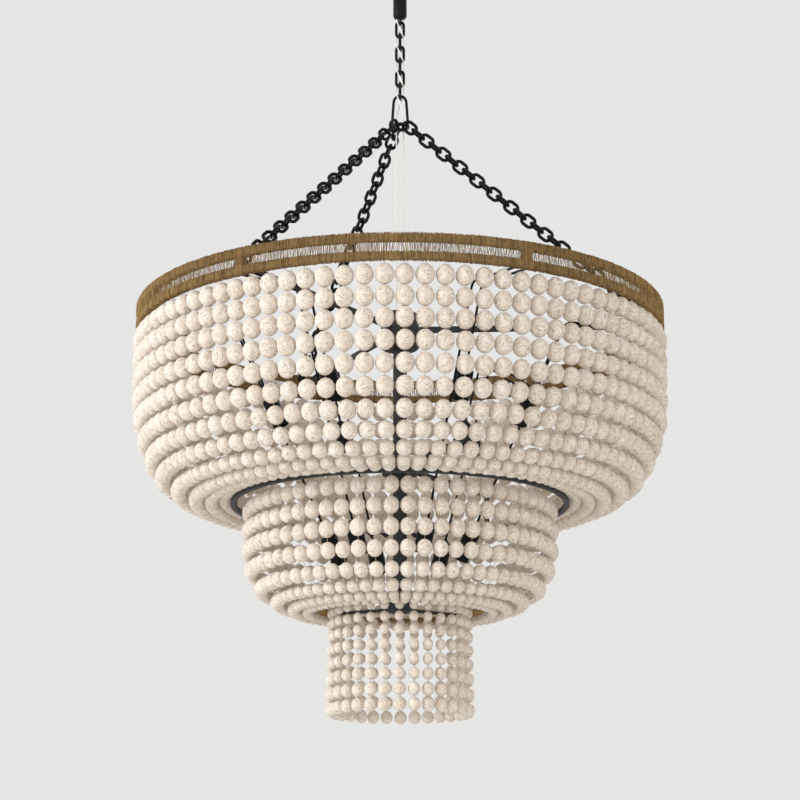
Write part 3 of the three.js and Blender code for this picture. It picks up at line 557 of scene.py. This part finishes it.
# Hanger ring and bail
hanger = {
    "level": -228, "radius": 10, "wire": 2.5, "steps": 32, "sides": 10,
    "bailWire": 1.8, "bailTop": -186.5, "bailHalf": 7, "bailWiden": 1.15, "bailArch": 9, "bailSteps": 12,
    "footIn": 0.4, "footRise": 10,
}
level, ringRadius, arch = hanger["level"], hanger["radius"], hanger["bailArch"]
footTop, footRadius = level + hanger["footRise"], ringRadius - hanger["footIn"]
ringPath = [polar(ringRadius, 360 * k / hanger["steps"], level) for k in range(hanger["steps"])]
bailPath = [Vector((ringRadius, 0, level)), Vector((footRadius, 0, footTop))]
for k in range(hanger["bailSteps"] + 1):
    a = math.pi * k / hanger["bailSteps"]
    bailReach = hanger["bailHalf"] * math.cos(a) * hanger["bailWiden"]
    bailPath.append(Vector((bailReach, 0, hanger["bailTop"] - arch + arch * math.sin(a))))
bailPath += [Vector((-footRadius, 0, footTop)), Vector((-ringRadius, 0, level))]
ringShape = sweepFlat(ringPath, zAxis, hanger["wire"], hanger["sides"])
bailShape = sweep(bailPath, hanger["bailWire"], hanger["sides"])
addPiece("hanger_ring", [ringShape, bailShape], "black_iron", fixture, "hanger_ring")

# Chains to the hoop, and the eyes that hold them
hoop = {"arms": [-4, 116, 236], "posts": 6}
sling = {
    "wire": 2.15, "half": 6.5, "links": 28, "gap": 0.2, "steps": 16, "sides": 8,
    "hooks": [336, 116, 236], "twists": [0, 52, 40], "twistEnds": 3, "barInner": 319.0,
    "eyeRadius": 6.2, "eyeWire": 2, "eyeInset": 13, "eyeLevel": -481.8, "eyeSteps": 20,
    "pin": 2.2, "pinInto": 1,
}
eyes = []
for k, azimuth in enumerate(hoop["arms"]):
    eyeCentre = polar(sling["barInner"] - sling["eyeInset"], azimuth, sling["eyeLevel"])
    hook = polar(hanger["radius"], sling["hooks"][k], hanger["level"])
    along = (eyeCentre - hook).normalized()
    start = hook - along * (hanger["wire"] + sling["wire"] + sling["gap"])
    end = eyeCentre - along * (sling["eyeRadius"] - sling["eyeWire"] - sling["wire"] - sling["gap"])
    overlap = 2 * sling["wire"] + sling["gap"]
    pitch = ((end - start).length - overlap) / sling["links"]
    outward = Vector((start.x + end.x, start.y + end.y, 0)).normalized()
    sideways = zAxis.cross(outward).normalized()
    upright = sideways.cross(along).normalized()
    shapes = []
    for n in range(sling["links"]):
        settle = min(1, n / sling["twistEnds"], (sling["links"] - 1 - n) / sling["twistEnds"])
        roll = math.radians(sling["twists"][k] * settle + 90 * (n % 2))
        side = upright * math.cos(roll) + sideways * math.sin(roll)
        centre = start + along * (n * pitch + (pitch + overlap) / 2)
        shapes.append(placeLink(centre, along, side, sling, pitch + overlap))
    addPiece(f"hoop_chain_{k + 1}", shapes, "black_iron", fixture, f"hoop_chain_{k + 1}")
    out = polar(1, azimuth, 0)
    wide = sling["eyeRadius"]
    circle = []
    for a in roundAngles(sling["eyeSteps"]):
        circle.append(eyeCentre + out * (wide * math.cos(a)) + zAxis * (wide * math.sin(a)))
    eyes.append(sweepFlat(circle, out.cross(zAxis), sling["eyeWire"], sling["sides"]))
    pinEnd = polar(sling["barInner"] + sling["pinInto"], azimuth, sling["eyeLevel"])
    eyes.append(sweep([eyeCentre + out * wide, pinEnd], sling["pin"], sling["sides"]))
print("chains made")

# Hoop: iron bars and posts, each bound with its own layer of twine, then wound together
bars = {
    "inner": 316.8, "outer": 323.4, "bands": [(-486.6, -477.7), (-506.3, -498.4)], "soft": 1.6, "steps": 3,
    "segments": 180, "postWidth": 9, "postHeight": 14, "postLevel": -492.5, "postBevel": 1.2,
}
bound = [flatBar(bars, bottom, top) for bottom, top in bars["bands"]]
postMiddle = ((bars["inner"] + bars["outer"]) / 2, 0, bars["postLevel"])
postSize = (bars["outer"] - bars["inner"], bars["postWidth"], bars["postHeight"])
postAzimuths = [hoop["arms"][0] + 360 / hoop["posts"] * k for k in range(hoop["posts"])]
for azimuth in postAzimuths:
    bound.append(block(postMiddle, postSize, azimuth, bars["postBevel"]))
addPiece("hoop_binding", bound, "twine", fixture, "hoop_frame")
addPiece("hoop_eyes", eyes, "black_iron", fixture)

winding = {
    "radius": 320.1, "corner": 1.8, "rise": 0.5, "sway": 0.28, "jitter": 0.34, "sideLean": 0.002, "seed": 11,
    "sector": 120, "postTurns": 9, "postEdge": 1,
    "layers": {
        "top_turns": {
            "middle": -481.5, "height": 9.9, "depth": 8.4, "strand": 0.5, "pitch": 1.27, "lean": 0.11,
        },
        "low_turns": {
            "middle": -502.6, "height": 9.7, "depth": 8.4, "strand": 0.5, "pitch": 1.27, "lean": 0.11,
        },
        "post_turns": {
            "middle": -492, "height": 30.6, "depth": 8.8, "strand": 0.5, "pitch": 1.2, "lean": 0.03,
        },
        "cross_turns": {
            "middle": -492, "height": 30, "depth": 7.4, "strand": 0.3, "pitch": 1.7, "lean": 0.18,
        },
    },
}


def turnAzimuths(layer, wound, start):
    turnAngle = math.degrees(wound["pitch"] / winding["radius"])
    if layer == "post_turns":
        middle = (winding["postTurns"] - 1) / 2
        low, high = start - winding["postEdge"], start + winding["sector"] - winding["postEdge"]
        posts = [azimuth for azimuth in postAzimuths if low < azimuth < high]
        return [azimuth + (n - middle) * turnAngle for azimuth in posts for n in range(winding["postTurns"])]
    count = round(winding["sector"] / turnAngle)
    shares = [(n + 0.5 + rng.uniform(-winding["jitter"], winding["jitter"])) for n in range(count)]
    return [start + winding["sector"] * share / count for share in shares]


rng = random.Random(7)
for k, start in enumerate(hoop["arms"]):
    woundNode = f"twine_wrap_{k + 1}"
    for layer, wound in winding["layers"].items():
        places, lies = [], []
        for azimuth in turnAzimuths(layer, wound, start):
            height = wound["middle"] + rng.uniform(-winding["rise"], winding["rise"])
            woundRadius = winding["radius"] + rng.uniform(-winding["sway"], winding["sway"])
            places.append(polar(woundRadius, azimuth, height))
            lies.append((0, 0, math.radians(azimuth)))
        name = f"{woundNode}_{layer}"
        grown = growMesh(name, turnTree, places, lies, None, {
            "Depth": wound["depth"] * mm, "Height": wound["height"] * mm, "Corner": winding["corner"] * mm,
            "Strand": wound["strand"] * mm, "Lean": (wound["lean"], 0.0, winding["sideLean"]),
            "Seed": winding["seed"] + k + len(layer), "Material": materials["twine"],
        })
        finishPiece(name, grown, "twine", fixture, woundNode, slotName="twine")
print("hoop wound")

# Central frame
hub = {
    "bore": 6.2, "radius": 23.75, "inset": 2.75, "rise": 2.6, "bottom": -520, "top": -474,
    "soft": 2, "steps": 3, "segments": 48,
}
hubShape = lathe(rounded(bush(hub), hub["soft"], hub["steps"]), hub["segments"])
addPiece("top_hub", [hubShape], "dark_iron", fixture, "top_hub")
spoke = {"height": 8, "width": 4, "level": -495, "from": 24.0, "to": 315.2, "bevel": 0.7}
spokeSize = (spoke["to"] - spoke["from"], spoke["width"], spoke["height"])
spokeMiddle = ((spoke["from"] + spoke["to"]) / 2, 0, spoke["level"])
for k, azimuth in enumerate(hoop["arms"]):
    shape = block(spokeMiddle, spokeSize, azimuth, spoke["bevel"])
    addPiece(f"top_spoke_{k + 1}", [shape], "dark_iron", fixture, f"top_spoke_{k + 1}")
column = {
    "radius": 8.5, "bore": 6.2, "top": -520.3, "bottom": -842, "cap": [(0, -851), (3.5, -851), (7, -846.5)],
    "segments": 32,
}
tubeOutline = [
    (column["radius"], column["bottom"]), (column["radius"], column["top"]), (column["bore"], column["top"]),
    (column["bore"], column["bottom"]), (0, column["bottom"]),
]
columnShape = lathe(column["cap"] + tubeOutline, column["segments"])
addPiece("column", [columnShape], "dark_iron", fixture, "column")

spiders = {
    "mid_spider": {
        "bore": 8.8, "radius": 22, "top": -664, "bottom": -679, "turn": 56, "level": -669, "width": 5,
        "height": 6, "reach": 203.5, "leg": {"low": -712.9, "high": -666, "at": 202, "thick": 4},
    },
    "low_spider": {
        "bore": 8.8, "radius": 15, "top": -836, "bottom": -848, "turn": 35.4, "level": -844, "width": 4,
        "height": 4, "reach": 89.4,
    },
    "arms": 3, "soft": 1.5, "steps": 3, "segments": 40, "bevel": 0.6,
}
for name in ("mid_spider", "low_spider"):
    spider = spiders[name]
    rim = [
        (spider["bore"], spider["bottom"]), (spider["radius"], spider["bottom"]),
        (spider["radius"], spider["top"]), (spider["bore"], spider["top"]),
        (spider["bore"], spider["bottom"]),
    ]
    shapes = [lathe(rounded(rim, spiders["soft"], spiders["steps"]), spiders["segments"])]
    start, end = spider["radius"] - spiders["soft"], spider["reach"]
    armMiddle = ((start + end) / 2, 0, spider["level"])
    armSize = (end - start, spider["width"], spider["height"])
    for k in range(spiders["arms"]):
        azimuth = spider["turn"] + 360 / spiders["arms"] * k
        shapes.append(block(armMiddle, armSize, azimuth, spiders["bevel"]))
        if "leg" in spider:
            leg = spider["leg"]
            legMiddle = (leg["at"], 0, (leg["low"] + leg["high"]) / 2)
            legSize = (leg["thick"], spider["width"], leg["high"] - leg["low"])
            shapes.append(block(legMiddle, legSize, azimuth, spiders["bevel"]))
    addPiece(name, shapes, "dark_iron", fixture, name)

flatRings = {
    "mid_ring": {
        "inner": 199.4, "outer": 205.8, "bottom": -718.75, "top": -713.25, "look": "dark_iron",
        "soft": 0.7, "steps": 2, "segments": 120,
    },
    "low_ring": {
        "inner": 91, "outer": 101, "bottom": -846, "top": -842, "look": "twine",
        "soft": 0.7, "steps": 2, "segments": 120,
    },
}
for name, ring in flatRings.items():
    shape = flatBar(ring, ring["bottom"], ring["top"])
    addPiece(name, [shape], ring["look"], fixture, name, slotName="dark_iron")
lowWinding = {
    "radius": 96, "middle": -844, "turns": 290, "depth": 11.2, "height": 5, "corner": 1.2, "strand": 0.6,
    "sideLean": 0.01, "seed": 31,
}
lowTurns = range(lowWinding["turns"])
places = [polar(lowWinding["radius"], 360 * n / lowWinding["turns"], lowWinding["middle"]) for n in lowTurns]
lies = [(0, 0, a) for a in roundAngles(lowWinding["turns"])]
grown = growMesh("low_ring_twine", turnTree, places, lies, None, {
    "Depth": lowWinding["depth"] * mm, "Height": lowWinding["height"] * mm,
    "Corner": lowWinding["corner"] * mm, "Strand": lowWinding["strand"] * mm,
    "Lean": (0.0, 0.0, lowWinding["sideLean"]), "Seed": lowWinding["seed"], "Material": materials["twine"],
})
finishPiece("low_ring_twine", grown, "twine", fixture)
print("frame made")

# Lamp holders on bent rods: outlines run down from the neck
lamp = {
    "turn": -4, "count": 6, "lean": 24, "length": 37, "collar": 5, "side": 7,
    "upper": {"radius": 153, "level": -599}, "lower": {"radius": 81, "level": -769},
    "rod": 1.5, "rodSides": 10, "rodInto": 2, "bend": 9, "bendSteps": 6,
    "hoopLevel": -503, "kneeLevel": -490, "hoopEnd": 313.8,
    "pad": {"radius": 3.4, "in": 1, "out": 0.8, "sides": 14},
}
holder = {
    "outside": [(0, 0), (4, 0), (4.2, -3.2), (7.2, -4.6), (9.2, -5.6), (9.9, -7.2), (9.9, -14)],
    "groove": [(9.5, -14.4), (9.5, -15.2), (9.9, -15.6)],
    "mouth": [(10, -40.6), (9.7, -42), (8.7, -42), (8.5, -41), (8.5, -16), (0, -16)], "segments": 28,
}
shell = {
    "radius": 8.3, "top": -17.5, "bottom": -38, "threadTop": -18, "threadDepth": 0.5, "threadStep": 1.2,
    "threadSteps": 16, "segments": 24,
}
contact = {"outline": [(0, -19), (3, -19), (3.4, -18), (3.4, -16.4), (0, -16.4)], "segments": 16}
holderOutline = holder["outside"] + holder["groove"] + holder["mouth"]
shellOutline = [(shell["radius"], shell["top"])]
for n in range(shell["threadSteps"]):
    threadRadius = shell["radius"] - shell["threadDepth"] * (n % 2)
    shellOutline.append((threadRadius, shell["threadTop"] - shell["threadStep"] * n))
shellOutline.append((shell["radius"], shell["bottom"]))
lathed = {
    "holder": lathe(holderOutline, holder["segments"]), "shell": lathe(shellOutline, shell["segments"]),
    "contact": lathe(contact["outline"], contact["segments"]),
}
tilt = math.radians(lamp["lean"])
turn = Matrix.Rotation(tilt, 4, "Y")
down = Vector((-math.sin(tilt), 0, -math.cos(tilt)))
for which, offset in (("upper", lamp["side"]), ("lower", -lamp["side"])):
    holderLevel = lamp[which]["level"]
    middle = Vector((lamp[which]["radius"], offset, holderLevel))
    neck = middle - down * (lamp["length"] / 2 + lamp["collar"])
    knee = middle + down * ((lamp["kneeLevel"] - holderLevel) / down.z)
    rodRaw = [Vector((lamp["hoopEnd"], offset, lamp["hoopLevel"])), knee, neck + down * lamp["rodInto"]]
    rodPath = rounded(rodRaw, lamp["bend"], lamp["bendSteps"])
    pad = lamp["pad"]
    padSpan = (lamp["hoopEnd"] - pad["in"], lamp["hoopEnd"] + pad["out"])
    padEnds = [Vector((x, offset, lamp["hoopLevel"])) for x in padSpan]
    shapes = {}
    for label, (points, faces) in lathed.items():
        shapes[label] = ([turn @ Vector(p) + neck for p in points], faces)
    shapes["rod"] = sweep(rodPath, lamp["rod"], lamp["rodSides"])
    shapes["pad"] = sweep(padEnds, pad["radius"], pad["sides"])
    for k in range(lamp["count"]):
        spin = Matrix.Rotation(math.radians(lamp["turn"] + 360 / lamp["count"] * k), 4, "Z")
        spun = {}
        for label, (points, faces) in shapes.items():
            spun[label] = ([spin @ Vector(p) for p in points], faces)
        name = f"{which}_lamp_{k + 1}"
        addPiece(name, [spun["holder"], spun["rod"], spun["pad"]], "black_iron", fixture, name)
        socket = [spun["shell"], spun["contact"]]
        addPiece(f"{name}_shell", socket, "socket_shell", fixture, slotName="black_iron")
print("lamps made")

# Supply cords
cord = {
    "radius": 0.8, "offset": 4.6, "start": -83, "bailPass": -196.8, "lastTurn": 108, "past": 1e-6,
    "steps": 110, "sides": 8, "hubInset": 5.1, "hubLevel": -480, "hubSteps": 12,
}


def cordTurn(level, side):
    if level > cord["bailPass"]:
        return (topMiddle - level) * 90 / chain["pitch"] - 90 + side * 180
    share = (cord["bailPass"] - level) / (cord["bailPass"] - hanger["level"])
    return cordTurn(cord["bailPass"] + cord["past"], side) + share * cord["lastTurn"]


def addCord(name, route, body):
    piece = addPiece(name, [sweep(route, cord["radius"], cord["sides"])], "clear_cord", body, name)


drop = hanger["level"] - cord["start"]
levels = [cord["start"] + drop * n / cord["steps"] for n in range(cord["steps"] + 1)]
for side in (0, 1):
    addCord(f"chain_cord_{side + 1}", [polar(cord["offset"], cordTurn(z, side), z) for z in levels], "link_3")
    endTurn = cordTurn(hanger["level"], side)
    straight = []
    for n in range(cord["hubSteps"] + 1):
        t = n / cord["hubSteps"]
        cordRadius = cord["offset"] + (cord["hubInset"] - cord["offset"]) * t
        cordLevel = hanger["level"] + (cord["hubLevel"] - hanger["level"]) * t
        straight.append(polar(cordRadius, endTurn, cordLevel))
    addCord(f"hub_cord_{side + 1}", straight, fixture)
print("cords made")

# Beads: each row is (radius, level, width) of the bead centres, and an anchor is (radius, level)
tiers = {
    "upper": {
        "strands": 90, "sectors": 6, "phase": 0.95, "tall": 1.09, "bodies": [fixture] * 6,
        "anchor": [(320, -508.4)],
        "rows": [
            (317.2, -522, 21.7), (317.2, -546.5, 21.7), (317.2, -571, 21.7), (316.8, -596, 21.7),
            (315, -621, 21.5), (309.6, -645.5, 21.1), (300.6, -668.5, 20.4), (287.6, -689, 19.5),
            (268.6, -704.8, 18.2), (247.5, -714, 16.9), (229.5, -715, 15.7), (213.6, -711, 14.6),
        ],
    },
    "mid": {
        "strands": 60, "sectors": 3, "phase": 2.85, "tall": 1.1, "bodies": [fixture] * 3,
        "anchor": [(201, -712.6), (194, -714), (186, -718)],
        "rows": [
            (182.4, -728, 18.9), (183.2, -752, 19.0), (182.8, -776, 18.9), (178.8, -800, 18.5),
            (167.6, -822.4, 17.4), (148.2, -837.5, 15.4), (128.8, -846, 13.3), (112, -848, 11.6),
        ],
    },
    "low": {
        "strands": 30, "sectors": 6, "phase": -0.6, "tall": 1.09,
        "bodies": [f"low_sector_{k + 1}" for k in range(6)], "anchor": [(92, -840.6), (86, -841)],
        "rows": [
            (82.5, -849.6, 11), (82.5, -863.6, 11.4), (82.5, -878.6, 11.8), (82.5, -895.2, 12.3),
            (82.5, -912.4, 12.8), (82.5, -930, 13.8), (82.5, -948.4, 14.9), (82.5, -966.4, 15.3),
        ],
    },
}
thread = {"radius": 0.32, "sides": 5}
bead = {
    "segments": 12, "rings": 7, "wander": 0.25, "least": 0.975, "most": 1.015, "seed": 100, "seedStep": 10,
}
rng = random.Random(3)
for tierName, tier in tiers.items():
    perSector = tier["strands"] // tier["sectors"]
    rows = tier["rows"]
    line = tier["anchor"] + [(radius, rowLevel) for radius, rowLevel, _ in rows]
    for k in range(tier["sectors"]):
        places, lies, spans, threads = [], [], [], []
        for n in range(perSector):
            azimuth = -90 + tier["phase"] + (k * perSector + n) * 360 / tier["strands"]
            for i, (radius, rowLevel, width) in enumerate(rows):
                before, after = rows[max(i - 1, 0)], rows[min(i + 1, len(rows) - 1)]
                slope = math.atan2(after[0] - before[0], before[1] - after[1])
                stray = Vector([rng.uniform(-bead["wander"], bead["wander"]) for _ in range(3)])
                places.append(polar(radius, azimuth, rowLevel) + stray)
                lies.append((0, -slope, math.radians(azimuth)))
                size = width * mm * rng.uniform(bead["least"], bead["most"])
                spans.append((size, size, size * tier["tall"]))
            threads.append(sweep([polar(r, azimuth, z) for r, z in line], thread["radius"], thread["sides"]))
        name = f"{tierName}_strands_{k + 1}"
        grown = growMesh(name, beadTree, places, lies, spans, {
            "Segments": bead["segments"], "Rings": bead["rings"], "Material": materials["wood_beads"],
            "Seed": bead["seed"] + k + bead["seedStep"] * len(tierName),
        })
        finishPiece(name, grown, "wood_beads", tier["bodies"][k], name)
        threadName = f"{tierName}_threads_{k + 1}"
        addPiece(threadName, threads, "bead_thread", tier["bodies"][k], slotName="wood_beads")
    print(f"{tierName} beads strung")

# Stage: a pale floor that fades out, white surroundings, and soft light from the left
floor = {"level": -4.4, "half": 14, "fade": (2.5, 8.0), "pale": (0.86, 0.855, 0.84, 1), "rough": 0.9}
floorMesh = bpy.data.meshes.new("floor")
edge = floor["half"]
floorPlan = ((-edge, -edge), (edge, -edge), (edge, edge), (-edge, edge))
floorMesh.from_pydata([(x, y, floor["level"]) for x, y in floorPlan], [], [[0, 1, 2, 3]])
floorLook = bpy.data.materials.new("floor")
floorLook.use_nodes = True
tree = floorLook.node_tree
matte = tree.nodes["Principled BSDF"]
matte.inputs["Base Color"].default_value = floor["pale"]
matte.inputs["Roughness"].default_value = floor["rough"]
floorPlace = addNode(tree, "ShaderNodeTexCoord").outputs["Object"]
flat = addNode(tree, "ShaderNodeVectorMath", {0: floorPlace, 1: (1, 1, 0)}, operation="MULTIPLY")
away = addNode(tree, "ShaderNodeVectorMath", {0: flat.outputs["Vector"]}, operation="LENGTH")
fadeStart, fadeEnd = floor["fade"]
fade = addNode(tree, "ShaderNodeMapRange", {
    "Value": away.outputs["Value"], "From Min": fadeStart, "From Max": fadeEnd,
})
clear = addNode(tree, "ShaderNodeBsdfTransparent")
fadeOut = addNode(tree, "ShaderNodeMixShader", {
    "Fac": fade.outputs["Result"], 1: matte.outputs["BSDF"], 2: clear.outputs["BSDF"],
})
tree.links.new(fadeOut.outputs["Shader"], tree.nodes["Material Output"].inputs["Surface"])
floorMesh.materials.append(floorLook)
floorObject = bpy.data.objects.new("floor", floorMesh)
bpy.context.scene.collection.objects.link(floorObject)

# World: a soft warm light on the object, and a pale backdrop for the camera, reflections and clear parts
sky = {
    "light": (1.0, 0.95, 0.885, 1), "lightStrength": 0.64, "seen": (0.79, 0.79, 0.78, 1), "seenStrength": 1.0,
}
world = bpy.data.worlds.new("world")
world.use_nodes = True
bpy.context.scene.world = world
tree = world.node_tree
tree.nodes.clear()
lit = addNode(tree, "ShaderNodeBackground", {"Color": sky["light"], "Strength": sky["lightStrength"]})
seen = addNode(tree, "ShaderNodeBackground", {"Color": sky["seen"], "Strength": sky["seenStrength"]})
rays = addNode(tree, "ShaderNodeLightPath").outputs
seenOrGlossy = addMath(tree, "MAXIMUM", rays["Is Camera Ray"], rays["Is Glossy Ray"])
plain = addMath(tree, "MAXIMUM", seenOrGlossy, rays["Is Transmission Ray"])
choose = addNode(tree, "ShaderNodeMixShader", {
    "Fac": plain, 1: lit.outputs["Background"], 2: seen.outputs["Background"],
})
addNode(tree, "ShaderNodeOutputWorld", {"Surface": choose.outputs["Shader"]})

lights = {
    "window": {
        "place": (-2.6, -1.3, -0.35), "aim": (0, 0, -0.65), "size": 2.0, "power": 62,
        "color": (0.97, 0.985, 1),
    },
    "room": {
        "place": (2.4, -2.2, -0.4), "aim": (0, 0, -0.65), "size": 2.4, "power": 11, "color": (1, 0.955, 0.9),
    },
    "front": {
        "place": (0.2, -2.9, -1.9), "aim": (0, 0, -0.7), "size": 2.4, "power": 22, "color": (0.985, 0.99, 1),
    },
    "back": {
        "place": (0.8, 2.6, 0.4), "aim": (0, 0, -0.6), "size": 2.0, "power": 26, "color": (1, 1, 1),
    },
}
for name, light in lights.items():
    data = bpy.data.lights.new(name, "AREA")
    data.size, data.energy, data.color = light["size"], light["power"], light["color"]
    lightObject = bpy.data.objects.new(name, data)
    lightObject.location = light["place"]
    aim = Vector(light["aim"]) - Vector(light["place"])
    lightObject.rotation_euler = aim.to_track_quat("-Z", "Y").to_euler()
    bpy.context.scene.collection.objects.link(lightObject)
bpy.context.scene.view_settings.view_transform = "Standard"
print("stage set")
